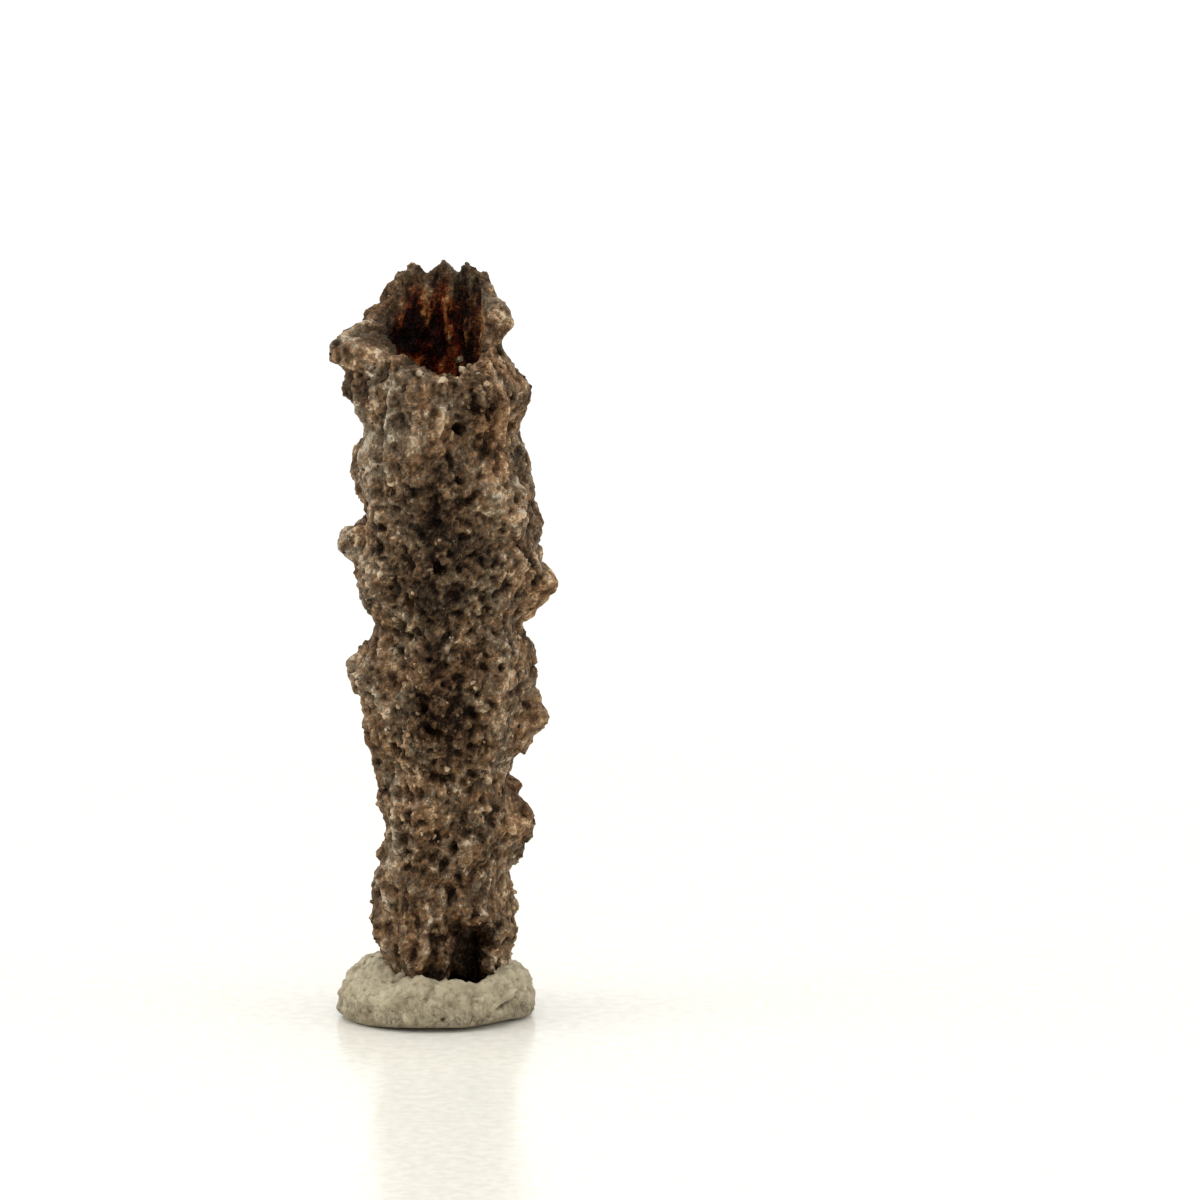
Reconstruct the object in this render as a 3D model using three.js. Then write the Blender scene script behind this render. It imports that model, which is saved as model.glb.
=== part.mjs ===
// A fulgurite: a hollow tube of sand fused by lightning, stood on end in a pad of putty.
// Millimetres, +Z up, +X to the right and +Y to the back. Azimuths are degrees round the tube,
// counted from +X towards +Y, so 180 is the left side and 270 the front.
// The origin is the middle of the footprint, on the surface that the pad rests on.
import * as THREE from "three";

const { degToRad, euclideanModulo, lerp } = THREE.MathUtils;

// Facets.
const TUBE_SIDES = 44;
const PAD_SIDES = 36;
// Rows of facets between the foot, these two levels and the rim, on the wall and down the bore.
const LOW_LEVEL = 6.6;
const HIGH_LEVEL = 30.2;
const WALL_ROWS = { low: 9, middle: 38, high: 10 };
const BORE_ROWS = { low: 4, middle: 11, high: 6 };

// The tube's outer wall without its knobs: height, x of its middle and half its width.
// Between these heights both change smoothly.
const TRUNK = [
  { z: 1.4, x: 0.2, half: 2.8 },
  { z: 3.6, x: 0.1, half: 3.0 },
  { z: 5.0, x: 0.0, half: 3.2 },
  { z: 6.6, x: 0.0, half: 3.15 },
  { z: 8.3, x: 0.3, half: 3.15 },
  { z: 10.4, x: 0.2, half: 3.25 },
  { z: 12.4, x: 0.1, half: 3.2 },
  { z: 14.4, x: 0.2, half: 4.05 },
  { z: 17.0, x: 0.2, half: 4.15 },
  { z: 19.4, x: 0.35, half: 3.65 },
  { z: 21.9, x: 0.3, half: 4.35 },
  { z: 25.2, x: 0.35, half: 4.2 },
  { z: 27.0, x: -0.1, half: 4.2 },
  { z: 29.0, x: -0.15, half: 3.7 },
  { z: 30.8, x: -0.2, half: 4.0 },
  { z: 33.4, x: -0.5, half: 3.5 },
  { z: 36.9, x: -0.3, half: 3.2 },
];
const DEPTH_SHARE = 0.94; // the section's depth against its width

// The bore, and the least glass left between it and the outside.
const BORE = [
  { z: 1.4, x: 0.25, half: 1.85 },
  { z: 10.4, x: 0.1, half: 2.0 },
  { z: 20.4, x: 0.2, half: 2.25 },
  { z: 30.4, x: -0.2, half: 2.4 },
  { z: 36.9, x: -0.3, half: 2.55 },
];
const LEAST_WALL = 0.6;

// The broken ends: height against azimuth. The rim is high at the back and low in front.
const RIM = [
  [8, 35.0],
  [30, 35.9],
  [52, 36.7],
  [66, 36.1],
  [84, 36.8],
  [102, 36.0],
  [118, 36.6],
  [140, 35.3],
  [162, 34.3],
  [185, 33.7],
  [212, 33.1],
  [240, 32.7],
  [268, 32.0],
  [292, 31.7],
  [318, 32.2],
  [340, 33.1],
  [352, 34.0],
];
// An arch is broken out of the foot at the front, to the right of the middle.
const FOOT = [
  [20, 1.4],
  [90, 1.6],
  [160, 1.4],
  [240, 1.4],
  [270, 1.6],
  [279, 3.2],
  [290, 4.6],
  [306, 4.9],
  [319, 4.0],
  [329, 2.1],
  [340, 1.5],
];

// Blebs on the outer wall: where their middle is, how far they stand out and their radius.
// A negative reach is a hollow.
const KNOBS = [
  // left side, from the rim down
  { azimuth: 186, z: 33.1, reach: 1.35, radius: 1.9 },
  { azimuth: 183, z: 31.1, reach: 0.85, radius: 1.3 },
  { azimuth: 178, z: 27.4, reach: 0.25, radius: 1.2 },
  { azimuth: 180, z: 25.4, reach: -0.45, radius: 0.9 },
  { azimuth: 182, z: 23.5, reach: 1.4, radius: 1.4 },
  { azimuth: 192, z: 21.0, reach: 0.6, radius: 1.5 },
  { azimuth: 178, z: 17.0, reach: 1.05, radius: 1.7 },
  { azimuth: 176, z: 11.6, reach: -0.3, radius: 1.8 },
  { azimuth: 182, z: 9.6, reach: -0.35, radius: 0.9 },
  { azimuth: 181, z: 7.9, reach: 0.6, radius: 0.9 },
  { azimuth: 176, z: 6.3, reach: 0.35, radius: 1.1 },
  { azimuth: 188, z: 4.6, reach: 0.55, radius: 1.3 },
  // right side, from the rim down
  { azimuth: 4, z: 34.2, reach: 0.5, radius: 1.2 },
  { azimuth: 357, z: 33.1, reach: -0.9, radius: 0.8 },
  { azimuth: 352, z: 31.0, reach: 0.5, radius: 1.8 },
  { azimuth: 2, z: 24.4, reach: 0.35, radius: 1.6 },
  { azimuth: 355, z: 21.3, reach: 1.2, radius: 1.8 },
  { azimuth: 2, z: 19.8, reach: -0.3, radius: 0.8 },
  { azimuth: 6, z: 17.6, reach: 0.4, radius: 1.5 },
  { azimuth: 357, z: 14.9, reach: 1.0, radius: 1.2 },
  { azimuth: 358, z: 9.3, reach: 0.9, radius: 2.4 },
  { azimuth: 2, z: 7.5, reach: -0.3, radius: 0.8 },
  { azimuth: 3, z: 5.7, reach: 0.4, radius: 0.8 },
  { azimuth: 356, z: 4.1, reach: 0.5, radius: 0.8 },
  // front
  { azimuth: 257, z: 29.0, reach: 0.55, radius: 2.6 },
  { azimuth: 232, z: 31.4, reach: 0.4, radius: 1.6 },
  { azimuth: 318, z: 25.6, reach: 0.5, radius: 2.4 },
  { azimuth: 268, z: 25.0, reach: -0.4, radius: 1.8 },
  { azimuth: 222, z: 20.8, reach: 0.45, radius: 2.0 },
  { azimuth: 320, z: 18.4, reach: 0.55, radius: 1.2 },
  { azimuth: 262, z: 16.8, reach: -0.3, radius: 1.9 },
  { azimuth: 240, z: 10.2, reach: 0.35, radius: 1.8 },
  { azimuth: 300, z: 8.6, reach: 0.35, radius: 2.0 },
  { azimuth: 246, z: 4.0, reach: 0.4, radius: 1.7 },
  // back
  { azimuth: 70, z: 30.6, reach: 0.7, radius: 1.8 },
  { azimuth: 118, z: 27.8, reach: 0.95, radius: 1.6 },
  { azimuth: 88, z: 24.0, reach: -0.4, radius: 1.8 },
  { azimuth: 52, z: 22.8, reach: 0.9, radius: 1.7 },
  { azimuth: 132, z: 20.0, reach: 0.7, radius: 2.0 },
  { azimuth: 84, z: 18.2, reach: 1.05, radius: 1.5 },
  { azimuth: 110, z: 13.6, reach: 0.6, radius: 1.7 },
  { azimuth: 58, z: 12.2, reach: 0.75, radius: 1.5 },
  { azimuth: 96, z: 9.0, reach: -0.3, radius: 1.6 },
  { azimuth: 126, z: 6.4, reach: 0.6, radius: 1.4 },
  { azimuth: 66, z: 5.0, reach: 0.45, radius: 1.3 },
];

// Ridges that run up the tube: how many, how high, how far they sway in degrees, and over what
// height they do.
const FLUTES = { count: 7, height: 0.16, sway: 40, over: 5 };
const BORE_RIBS = { count: 11, height: 0.12, sway: 25, over: 3 };

// Soft lumps: how high, how many round the tube and how far apart up it.
const WALL_LUMPS = [
  { height: 0.17, count: 14, apart: 1.9, seed: 1 },
  { height: 0.14, count: 24, apart: 1.1, seed: 2 },
];
const BORE_LUMPS = [{ height: 0.12, count: 9, apart: 3.1, seed: 5 }];

// The pad, as pressed round the foot: its middle, half its width, its depth against its width,
// and its section, from the middle of the underside to the middle of the dish, as shares of that
// half width and heights.
const PAD = { x: -0.34, y: 0.1, half: 4.72, depth: 0.91 };
const PAD_SECTION = [
  [0.5, 0],
  [0.95, 0],
  [0.99, 0.22],
  [1.0, 0.65],
  [1.0, 1.2],
  [0.975, 1.75],
  [0.92, 2.15],
  [0.85, 2.35],
  [0.79, 2.25],
  [0.745, 1.85],
  [0.71, 1.3],
  [0.66, 0.95],
  [0.35, 0.9],
];
const DISH_FLOOR = 0.9;
// How far the pad's outline leaves a circle: share of the radius, waves round it, azimuth.
const PAD_WAVES = [
  { share: 0.015, count: 2, azimuth: 205 },
  { share: 0.014, count: 3, azimuth: 20 },
  { share: 0.008, count: 5, azimuth: 70 },
];
// How far the lip's height wanders, as a share, against the waves round it and azimuth.
const LIP_WAVES = [
  { share: 0.05, count: 2, azimuth: 120 },
  { share: 0.03, count: 5, azimuth: 200 },
];

const ease = (t) => t * t * (3 - 2 * t);

// The named values of a list of levels at one height.
function level(levels, z) {
  const above = levels.findIndex((l) => l.z > z);
  if (above === 0) return levels[0];
  if (above < 0) return levels[levels.length - 1];
  const [low, high] = [levels[above - 1], levels[above]];
  const t = ease((z - low.z) / (high.z - low.z));
  return { x: lerp(low.x, high.x, t), half: lerp(low.half, high.half, t) };
}

// The height of a broken end at one azimuth, from its points, which go once round.
function edgeHeight(points, azimuth) {
  const turn = euclideanModulo(azimuth - points[0][0], 360);
  const from = points.map(([a]) => a - points[0][0]).findLastIndex((a) => a <= turn);
  const [a, za] = points[from];
  const [b, zb] = points[(from + 1) % points.length];
  const span = euclideanModulo(b - a, 360);
  return lerp(za, zb, euclideanModulo(azimuth - a, 360) / span);
}

// A number from 0 to 1 that looks random and is the same for the same three whole numbers.
function scatter(i, j, seed) {
  const s = Math.sin(i * 127.1 + j * 311.7 + seed * 74.7) * 43758.5453;
  return s - Math.floor(s);
}

// How far one set of lumps lifts a wall at a place on it.
function lump({ height, count, apart, seed }, azimuth, z) {
  const u = (euclideanModulo(azimuth, 360) / 360) * count;
  const v = z / apart;
  const [i, j] = [Math.floor(u), Math.floor(v)];
  const corner = (a, b) => height * (2 * scatter((i + a) % count, j + b, seed) - 1);
  const [s, t] = [ease(u - i), ease(v - j)];
  return lerp(lerp(corner(0, 0), corner(1, 0), s), lerp(corner(0, 1), corner(1, 1), s), t);
}

const lumps = (list, azimuth, z) => list.reduce((sum, set) => sum + lump(set, azimuth, z), 0);

// How far a set of ridges lifts a wall at a place on it.
function ridges({ count, height, sway, over }, azimuth, z) {
  return height * Math.cos(degToRad(count * azimuth + sway * Math.sin(z / over)));
}

// How far one knob lifts the wall at a place on it.
function lift(knob, azimuth, z, trunkRadius) {
  const across = degToRad(euclideanModulo(azimuth - knob.azimuth + 180, 360) - 180) * trunkRadius;
  const away = Math.hypot(across, z - knob.z) / knob.radius;
  return away < 1 ? knob.reach * (1 - away * away) ** 2 : 0;
}

// Waves added up at one azimuth.
function waves(list, azimuth) {
  return list.reduce((sum, w) => sum + w.share * Math.cos(degToRad(w.count * (azimuth - w.azimuth))), 0);
}

function boreRadius(azimuth, z) {
  return level(BORE, z).half + ridges(BORE_RIBS, azimuth, z) + lumps(BORE_LUMPS, azimuth, z);
}

// The outer wall's distance from the trunk's middle.
function wallRadius(azimuth, z) {
  const { x, half } = level(TRUNK, z);
  const knobs = KNOBS.reduce((sum, knob) => sum + lift(knob, azimuth, z, half), 0);
  const rough = ridges(FLUTES, azimuth, z) + lumps(WALL_LUMPS, azimuth, z);
  const least = boreRadius(azimuth, z) + Math.abs(level(BORE, z).x - x) + LEAST_WALL;
  return Math.max(half + rough + knobs, least);
}

function place(middleX, radius, azimuth, z) {
  const a = degToRad(azimuth);
  return new THREE.Vector3(middleX + radius * Math.cos(a), DEPTH_SHARE * radius * Math.sin(a), z);
}

// The heights of the rows from foot to rim: only those near a broken end follow its outline.
function heights(foot, rim, rows) {
  const stretch = (from, to, count) => Array.from({ length: count }, (_, k) => lerp(from, to, k / count));
  return [
    ...stretch(foot, LOW_LEVEL, rows.low),
    ...stretch(LOW_LEVEL, HIGH_LEVEL, rows.middle),
    ...stretch(HIGH_LEVEL, rim, rows.high),
    rim,
  ];
}

// One azimuth's section of the tube: up the wall, over the rim, down the bore, under the foot.
function tubeSection(azimuth) {
  const [foot, rim] = [edgeHeight(FOOT, azimuth), edgeHeight(RIM, azimuth)];
  const wall = (z) => place(level(TRUNK, z).x, wallRadius(azimuth, z), azimuth, z);
  const bore = (z) => place(level(BORE, z).x, boreRadius(azimuth, z), azimuth, z);
  return [
    ...heights(foot, rim, WALL_ROWS).map(wall),
    wall(rim).lerp(bore(rim), 0.5),
    ...heights(foot, rim, BORE_ROWS).reverse().map(bore),
    wall(foot).lerp(bore(foot), 0.5),
  ];
}

// A closed ring from its sections: each joins the next one round, and its own end its start.
// Each four-sided facet is split along its shorter diagonal.
function ringGeometry(sections) {
  const [count, length] = [sections.length, sections[0].length];
  const points = sections.flat();
  const index = [];
  for (let i = 0; i < count; i++) {
    for (let k = 0; k < length; k++) {
      const [next, up] = [(i + 1) % count, (k + 1) % length];
      const [a, b] = [i * length + k, next * length + k];
      const [c, d] = [next * length + up, i * length + up];
      const acrossFirst = points[a].distanceTo(points[c]) < points[b].distanceTo(points[d]);
      index.push(...(acrossFirst ? [a, b, c, a, c, d] : [a, b, d, b, c, d]));
    }
  }
  const geometry = new THREE.BufferGeometry().setFromPoints(points);
  geometry.setIndex(index);
  geometry.computeVertexNormals();
  return geometry;
}

// A closed blob from its rings, from the underside up and over, with a point at each end.
function blobGeometry(rings, bottom, top) {
  const sides = rings[0].length;
  const topPoint = rings.length * sides + 1;
  const index = [];
  for (let i = 0; i < sides; i++) {
    const next = (i + 1) % sides;
    index.push(0, 1 + next, 1 + i);
    for (let k = 0; k < rings.length - 1; k++) {
      const [a, b] = [1 + k * sides + i, 1 + k * sides + next];
      index.push(a, b, b + sides, a, b + sides, a + sides);
    }
    const last = 1 + (rings.length - 1) * sides;
    index.push(last + i, last + next, topPoint);
  }
  const geometry = new THREE.BufferGeometry().setFromPoints([bottom, ...rings.flat(), top]);
  geometry.setIndex(index);
  geometry.computeVertexNormals();
  return geometry;
}

const turn = (sides, make) => Array.from({ length: sides }, (_, i) => make((360 * i) / sides));

function makeFulgurite() {
  const glass = new THREE.MeshStandardMaterial({ color: 0x6b5d4e, roughness: 0.6, metalness: 0 });
  const mesh = new THREE.Mesh(ringGeometry(turn(TUBE_SIDES, tubeSection)), glass);
  mesh.name = "fulgurite";
  return mesh;
}

function makePad() {
  const rings = PAD_SECTION.map(([share, height]) =>
    turn(PAD_SIDES, (azimuth) => {
      const a = degToRad(azimuth);
      const radius = PAD.half * share * (1 + waves(PAD_WAVES, azimuth));
      const z = height > DISH_FLOOR ? height * (1 + waves(LIP_WAVES, azimuth)) : height;
      const y = PAD.y + PAD.depth * radius * Math.sin(a);
      return new THREE.Vector3(PAD.x + radius * Math.cos(a), y, z);
    }),
  );
  const middle = (z) => new THREE.Vector3(PAD.x, PAD.y, z);
  const putty = new THREE.MeshStandardMaterial({ color: 0xb0a68e, roughness: 0.9, metalness: 0 });
  const mesh = new THREE.Mesh(blobGeometry(rings, middle(0), middle(DISH_FLOOR)), putty);
  mesh.name = "putty_pad";
  return mesh;
}

const specimen = new THREE.Group();
specimen.add(makeFulgurite(), makePad());

// Puts the origin under the middle of the whole specimen.
const centre = new THREE.Box3().setFromObject(specimen).getCenter(new THREE.Vector3());
specimen.position.set(-centre.x, -centre.y, 0);

export default specimen;
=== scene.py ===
import math

import bmesh
import bpy
import numpy as np
from mathutils import Matrix, Vector
from mathutils.bvhtree import BVHTree


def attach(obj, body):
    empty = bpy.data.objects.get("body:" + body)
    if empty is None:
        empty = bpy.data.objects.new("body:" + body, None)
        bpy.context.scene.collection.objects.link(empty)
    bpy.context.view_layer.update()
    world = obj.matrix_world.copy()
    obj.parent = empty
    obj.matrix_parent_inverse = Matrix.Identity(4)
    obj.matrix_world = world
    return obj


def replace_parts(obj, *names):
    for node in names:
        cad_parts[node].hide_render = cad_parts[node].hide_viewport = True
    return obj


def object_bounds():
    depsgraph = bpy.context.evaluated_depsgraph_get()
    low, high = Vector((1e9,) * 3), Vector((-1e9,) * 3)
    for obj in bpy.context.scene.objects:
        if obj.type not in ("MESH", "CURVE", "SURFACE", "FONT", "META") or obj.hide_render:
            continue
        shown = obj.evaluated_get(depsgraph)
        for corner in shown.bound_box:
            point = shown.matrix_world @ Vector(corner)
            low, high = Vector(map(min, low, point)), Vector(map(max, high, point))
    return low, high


# A fulgurite in its putty pad. Shapes are worked out in millimetres, in the frame of the CAD
# solids, and written to Blender in metres. Azimuths are degrees from +X towards +Y, so 180 is
# the left side and 270 the front. "Rows" run up the wall and down the bore, "columns" round it.
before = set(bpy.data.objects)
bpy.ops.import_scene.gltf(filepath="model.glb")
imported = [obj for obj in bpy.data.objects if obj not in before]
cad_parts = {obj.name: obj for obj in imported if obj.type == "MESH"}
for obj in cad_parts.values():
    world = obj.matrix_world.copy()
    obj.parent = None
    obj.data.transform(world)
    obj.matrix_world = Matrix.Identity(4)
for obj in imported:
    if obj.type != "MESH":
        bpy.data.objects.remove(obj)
CAD_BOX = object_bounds()
MM = 0.001

# The wall's grid of points.
COLUMNS = 240
LOW_LEVEL, HIGH_LEVEL = 6.6, 30.2  # between these, rows are level; beyond, they follow the ends
WALL_ROWS = (40, 182, 46)
BORE_ROWS = (12, 52, 20)
END_ROWS = 7
FAR_OUT = 12.0  # further from the axis than any of the wall
MEAN_RADIUS = 4.0
INSET = 0.03  # how far inside the broken ends the last rows are read
DRAWN_OUT = ([0, 7, 28.5, 37], [2.0, 7, 28.5, 32.6])  # heights, and where the pattern is read
SOFTENED = 5  # rounds of smoothing that take out the solid's flat facets


# ---------- numbers that look random and are the same each time ----------

NOISE_GAIN = 1.6  # brings the sum of the corners' slopes to about -1 to 1


def hashed(cells, seed):
    """Three numbers from 0 to 1 for each row of three whole numbers."""
    c = cells.astype(np.int64).astype(np.uint64)
    mixed = c[..., 0] * np.uint64(0x9E3779B185EBCA87) ^ c[..., 1] * np.uint64(0xC2B2AE3D27D4EB4F)
    mixed ^= c[..., 2] * np.uint64(0x165667B19E3779F9) ^ np.uint64(seed * 7919 + 1)
    out = []
    for _ in range(3):
        mixed ^= mixed >> np.uint64(29)
        mixed *= np.uint64(0xBF58476D1CE4E5B9)
        mixed ^= mixed >> np.uint64(32)
        out.append((mixed >> np.uint64(40)).astype(float) / 2**24)
    return np.stack(out, -1)


def noise(points, size, seed):
    """Soft noise, about -1 to 1, with blobs of this size."""
    p = points / size
    base = np.floor(p)
    f = p - base
    w = f * f * f * (f * (f * 6 - 15) + 10)
    total = 0.0
    for corner in np.ndindex(2, 2, 2):
        c = np.array(corner)
        gradient = hashed(base + c, seed) * 2 - 1
        weight = np.prod(np.where(c, w, 1 - w), -1)
        total = total + weight * ((f - c) * gradient).sum(-1)
    return total * NOISE_GAIN


def grains(points, size, seed):
    """The nearest of some scattered centres, this far apart: how far it is, in sizes, and a number
    from 0 to 1 that belongs to it."""
    p = points / size
    base = np.floor(p)
    first = np.full(p.shape[:-1], np.inf)
    pick = np.zeros_like(first)
    for step in np.ndindex(3, 3, 3):
        cell = base + np.array(step) - 1
        h = hashed(cell, seed)
        d = np.linalg.norm(cell + h - p, axis=-1)
        nearer = d < first
        pick = np.where(nearer, np.mod(h[..., 0] * 97.3 + h[..., 1] * 31.7, 1), pick)
        first = np.where(nearer, d, first)
    return first, pick


def ease(t):
    """From 0 to 1 as t does, with soft ends."""
    t = np.clip(t, 0, 1)
    return t * t * (3 - 2 * t)


def threads(points, size, width, seed):
    """1 along thin winding lines and 0 away from them."""
    return 1 - ease(np.abs(noise(points, size, seed)) / width)


# ---------- the tube's grid, read from the CAD solid ----------

def tree_of(mesh):
    """The mesh's surface in millimetres, to be searched."""
    points = [v.co / MM for v in mesh.vertices]
    return BVHTree.FromPolygons(points, [p.vertices[:] for p in mesh.polygons])


def cast_in(tree, out, z):
    """How far from the axis the outside is."""
    hit = tree.ray_cast(out * FAR_OUT + Vector((0, 0, z)), -out, FAR_OUT)[0]
    return None if hit is None else math.hypot(hit.x, hit.y)


def cast_out(tree, out, z):
    """How far from the axis the bore's wall is."""
    hit = tree.ray_cast(Vector((0, 0, z)), out, FAR_OUT)[0]
    return None if hit is None else math.hypot(hit.x, hit.y)


def end_heights(tree, angles, level, direction):
    """The height of a broken end at each azimuth, looking straight at the middle of its wall."""
    found = []
    for a in angles:
        out = Vector((math.cos(a), math.sin(a), 0))
        z = level
        for _ in range(3):
            radius = (cast_in(tree, out, z) + cast_out(tree, out, z)) / 2
            start = out * radius + Vector((0, 0, z + direction * FAR_OUT))
            end = tree.ray_cast(start, Vector((0, 0, -direction)))[0].z
            z = (z + end) / 2
        found.append(end)
    return np.array(found)


def row_heights(foot, rim, rows):
    """Heights from foot to rim at each azimuth, row after row, for so many rows in each of three
    stretches: foot to low level, low to high level, and high level to rim."""
    ends = [foot, LOW_LEVEL, HIGH_LEVEL, rim]
    found = []
    for low, high, count in zip(ends, ends[1:], rows):
        t = np.arange(count)[:, None] / count
        found.append((1 - t) * low + t * high + 0 * foot)
    return np.concatenate(found + [rim[None]])


def wall_points(tree, angles, heights, cast):
    """Points on the outside or on the bore, as cast finds it. Near the ends, where it may find
    nothing, a row keeps the distance from the axis of the row before."""
    radius = np.zeros(heights.shape)
    low, high = heights.min(0) + INSET, heights.max(0) - INSET
    middle = len(heights) // 2
    order = [*range(middle, len(heights)), *range(middle - 1, -1, -1)]
    for j, a in enumerate(angles):
        out = Vector((math.cos(a), math.sin(a), 0))
        for k in order:
            last = radius[k - 1 if k > middle else k + 1, j] if k != middle else 0
            radius[k, j] = cast(tree, out, min(max(heights[k, j], low[j]), high[j])) or last
    for _ in range(SOFTENED):
        radius = (np.roll(radius, 1, 1) + 2 * radius + np.roll(radius, -1, 1)) / 4
        radius[1:-1] = (radius[:-2] + 2 * radius[1:-1] + radius[2:]) / 4
    return np.stack([radius * np.cos(angles), radius * np.sin(angles), heights], -1)


def between(start, end, count):
    """Rows evenly spaced between two rows of points."""
    t = (np.arange(1, count + 1) / (count + 1))[:, None, None]
    return (1 - t) * start + t * end


def normals_of(points):
    """Outward normals of a grid that closes on itself both ways."""
    across = np.roll(points, -1, 1) - np.roll(points, 1, 1)
    along = np.roll(points, -1, 0) - np.roll(points, 1, 0)
    n = np.cross(across, along)
    return n / np.maximum(np.linalg.norm(n, axis=-1, keepdims=True), 1e-9)


# ---------- the finer shape of the fused sand ----------

# Hollows and knolls that stand out on the wall: azimuth, height, radius and how far they lift it.
MARKS = [
    (282, 29.5, 0.32, -0.75),
    (255, 16.1, 0.34, -0.7),
    (263, 14.7, 0.36, -0.6),
    (231, 13.7, 0.26, -0.55),
    (299, 18.0, 0.28, -0.55),
    (236, 11.6, 0.24, -0.45),
    (292, 12.6, 0.26, -0.45),
    (246, 20.9, 0.34, -0.5),
    (268, 22.8, 0.30, -0.5),
    (305, 22.3, 0.26, -0.45),
    (278, 9.0, 0.28, -0.4),
    (214, 24.0, 0.30, -0.4),
    (78, 27.6, 0.36, -0.6),
    (40, 16.4, 0.34, -0.6),
    (142, 23.2, 0.34, -0.55),
    (110, 10.4, 0.30, -0.5),
    (20, 26.0, 0.30, -0.5),
    (160, 14.6, 0.30, -0.5),
    # The left side: notches above and below its knobs.
    (178, 33.9, 0.35, 0.20),
    (179, 32.1, 0.5, -0.35),
    (181, 31.7, 0.9, -0.26),
    (185, 32.65, 0.35, -0.50),
    (180, 30.1, 0.8, -0.60),
    (195, 29.2, 1.2, -0.20),
    (165, 29.2, 1.4, -0.25),
    (182, 28.0, 0.9, -0.44),
    (181, 26.0, 0.5, 0.42),
    (180, 24.85, 0.5, -0.95),
    (194, 24.9, 0.5, -0.55),
    (166, 24.8, 0.5, -0.55),
    (182, 24.0, 0.3, 0.16),
    (182, 18.3, 0.35, 0.18),
    (183, 17.6, 0.3, 0.26),
    (183, 16.2, 0.3, 0.24),
    (182, 22.3, 0.5, -0.15),
    (180, 19.6, 0.8, -0.36),
    (182, 10.0, 0.3, 0.15),
    (182, 7.7, 0.45, -0.62),
    (194, 7.7, 0.4, -0.40),
    (170, 7.7, 0.4, -0.40),
    (184, 4.8, 0.9, -0.28),
    # The right side: blunt knobs with steep lower edges.
    (0, 30.7, 0.6, -0.45),
    (0, 25.4, 0.8, -0.26),
    (0, 24.6, 0.4, -0.22),
    (2, 22.9, 0.4, 0.30),
    (0, 19.9, 0.4, 0.25),
    (2, 18.2, 0.35, 0.20),
    (358, 15.9, 0.35, 0.18),
    (0, 13.5, 0.4, 0.20),
    (2, 11.4, 0.5, 0.55),
    (0, 9.8, 0.4, -0.48),
    (358, 7.9, 0.4, 0.22),
    # The foot's left edge and the crust over the hole beside it.
    (262, 3.6, 0.45, 0.20),
    (268, 6.4, 0.5, 0.18),
    (352, 4.9, 0.35, -0.40),
    (354, 6.0, 0.4, -0.60),
    (350, 3.6, 0.35, -0.35),
    (240, 2.9, 0.5, 0.22),
    (256, 7.4, 0.35, -0.3),
    (244, 5.2, 0.4, -0.3),
    # The crumbled hollow beside the hole in the foot.
    (299, 3.9, 0.75, -0.85),
    (312, 3.4, 0.7, -0.75),
    (276, 2.7, 0.4, -0.35),
    (278, 5.0, 0.4, -0.35),
]
# Peaks and gaps along the broken rim: azimuth, half width in degrees and lift.
RIM_PEAKS = [(118, 7, 0.32), (104, 5, -0.08), (66, 7, 0.14), (52, 6, -0.20)]
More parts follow.
